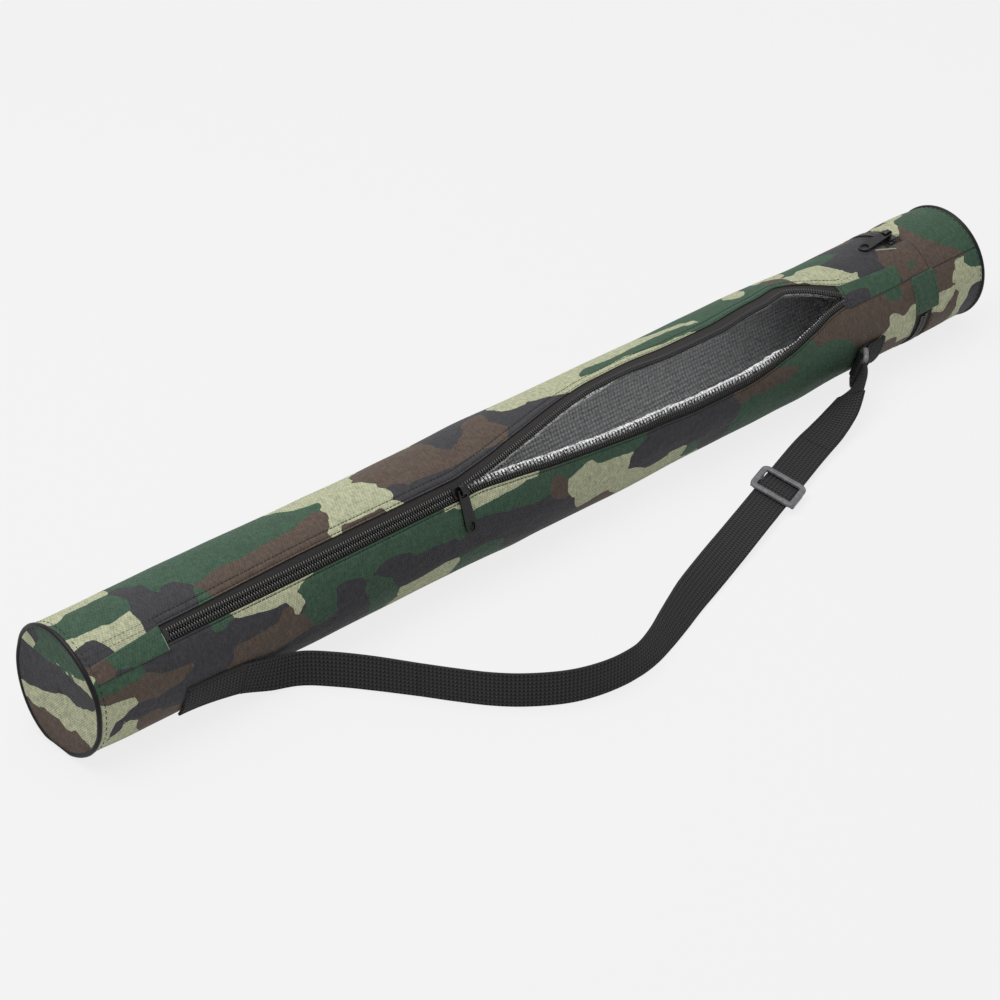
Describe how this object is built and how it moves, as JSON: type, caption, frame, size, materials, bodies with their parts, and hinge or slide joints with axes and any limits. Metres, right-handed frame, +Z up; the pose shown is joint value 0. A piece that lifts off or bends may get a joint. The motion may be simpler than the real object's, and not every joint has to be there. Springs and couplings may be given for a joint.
{
  "type": "insulated cooler bag",
  "caption": "Tube-shaped insulated bag for a row of drink cans, with a long zipped mouth, a zipped end lid and an adjustable shoulder strap.",
  "frame": {"origin": "on the flat resting face, under the tube's axis, halfway between the closed end and the lid's end", "axes": "+X along the tube to the zipped end lid, +Z up, -Y the front with the long zip and the strap"},
  "size_m": [0.817, 0.2317, 0.0919],
  "materials": {
    "camo_fabric": "woven polyester twill with a four-colour woodland camouflage print",
    "foam": "closed-cell foam",
    "foil_liner": "silver foil liner with a quilted emboss",
    "piping": "glossy black piping cord",
    "zip_tape": "black woven zip tape",
    "zip_coil": "black nylon coil",
    "slider_metal": "glossy black lacquer",
    "webbing": "black ribbed webbing",
    "buckle": "dark grey moulded plastic"
  },
  "bodies": {
    "bag": {"body_shell": "camo_fabric", "near_foam": "foam", "ramp_foam": "foam", "mouth_foam": "foam", "far_foam": "foam", "body_liner": "foil_liner", "near_disc": "camo_fabric", "near_disc_foam": "foam", "near_disc_liner": "foil_liner", "near_piping": "piping", "near_zip_tab": "camo_fabric", "far_zip_tab": "camo_fabric", "zip_tape_upper": "zip_tape", "zip_tape_lower": "zip_tape", "zip_coil_upper": "zip_coil", "zip_coil_lower": "zip_coil", "zip_stops": "zip_coil", "mouth_tape_upper": "zip_tape", "mouth_tape_lower": "zip_tape", "mouth_coil_upper": "zip_coil", "mouth_coil_lower": "zip_coil", "mouth_binding_upper": "foil_liner", "mouth_binding_lower": "foil_liner", "end_tape_body": "zip_tape", "end_coil_body": "zip_coil", "hinge_patch": "camo_fabric", "strap_sewn_end": "webbing", "ring_tab": "webbing"},
    "main_slider": {"main_slider": "slider_metal"},
    "main_pull": {"main_pull": "slider_metal"},
    "upper_lip": {"upper_lip_tape": "zip_tape", "upper_lip_coil": "zip_coil", "upper_lip_binding": "foil_liner"},
    "lower_lip": {"lower_lip_tape": "zip_tape", "lower_lip_coil": "zip_coil", "lower_lip_binding": "foil_liner"},
    "end_slider": {"end_slider": "slider_metal"},
    "end_pull": {"end_pull": "slider_metal"},
    "lid": {"lid_shell": "camo_fabric", "lid_foam": "foam", "lid_liner": "foil_liner", "lid_disc": "camo_fabric", "lid_disc_foam": "foam", "lid_disc_liner": "foil_liner", "lid_piping": "piping", "end_tape_lid": "zip_tape", "end_coil_lid": "zip_coil"},
    "strap": {"strap_webbing": "webbing", "strap_return": "webbing"},
    "tri_glide": {"tri_glide": "buckle"},
    "ring": {"rectangular_ring": "buckle", "strap_ring_loop": "webbing"}
  },
  "joints": [
    {"name": "main_slide", "type": "slide", "parent": "bag", "child": "main_slider", "axis": [1, 0, 0], "range_m": [-0.229, 0.369], "deforming": ["mouth_tape_upper", "mouth_tape_lower", "mouth_coil_upper", "mouth_coil_lower", "mouth_binding_upper", "mouth_binding_lower", "upper_lip_tape", "upper_lip_coil", "upper_lip_binding", "lower_lip_tape", "lower_lip_coil", "lower_lip_binding"]},
    {"name": "main_pull_swing", "type": "hinge", "parent": "main_slider", "child": "main_pull", "pos_m": [-0.114, -0.03525, 0.07468], "axis": [-1, 0, 0], "range_deg": [0, 130]},
    {"name": "upper_lip_roll", "type": "hinge", "parent": "bag", "child": "upper_lip", "pos_m": [0, 0, 0.04181], "axis": [-1, 0, 0], "range_deg": [-31.6, 19.6]},
    {"name": "lower_lip_roll", "type": "hinge", "parent": "bag", "child": "lower_lip", "pos_m": [0, 0, 0.04181], "axis": [-1, 0, 0], "range_deg": [-8.5, 13.6]},
    {"name": "end_slide", "type": "hinge", "parent": "bag", "child": "end_slider", "pos_m": [0.3395, 0, 0.04181], "axis": [-1, 0, 0], "range_deg": [0, 250]},
    {"name": "end_pull_swing", "type": "hinge", "parent": "end_slider", "child": "end_pull", "pos_m": [0.3395, -0.00168, 0.08998], "axis": [0, 0.9994, 0.0349], "range_deg": [0, 100]},
    {"name": "lid_hinge", "type": "hinge", "parent": "bag", "child": "lid", "pos_m": [0.3395, -0.03545, 0.06804], "axis": [0, -0.5948, -0.8039], "range_deg": [0, 110], "deforming": ["hinge_patch"]},
    {"name": "strap_swing", "type": "hinge", "parent": "bag", "child": "strap", "pos_m": [0.25922, -0.05114, 0.02218], "axis": [-0.9997, 0.0092, 0.0211], "range_deg": [0, 80]},
    {"name": "glide_slide", "type": "slide", "parent": "strap", "child": "tri_glide", "axis": [0.9397, 0.342, 0], "range_m": [-0.03, 0.03], "deforming": ["strap_return"]},
    {"name": "ring_swivel", "type": "hinge", "parent": "bag", "child": "ring", "pos_m": [0.267, -0.04388, 0.02497], "axis": [0, -0.3584, 0.9336], "range_deg": [-30, 0], "deforming": ["strap_ring_loop"]}
  ],
  "couplings": [
    {"joint": "upper_lip_roll", "follows": "main_slide", "rad_per_m": -1.4899},
    {"joint": "lower_lip_roll", "follows": "main_slide", "rad_per_m": 0.63854},
    {"joint": "ring_swivel", "follows": "strap_swing", "ratio": -0.3}
  ]
}
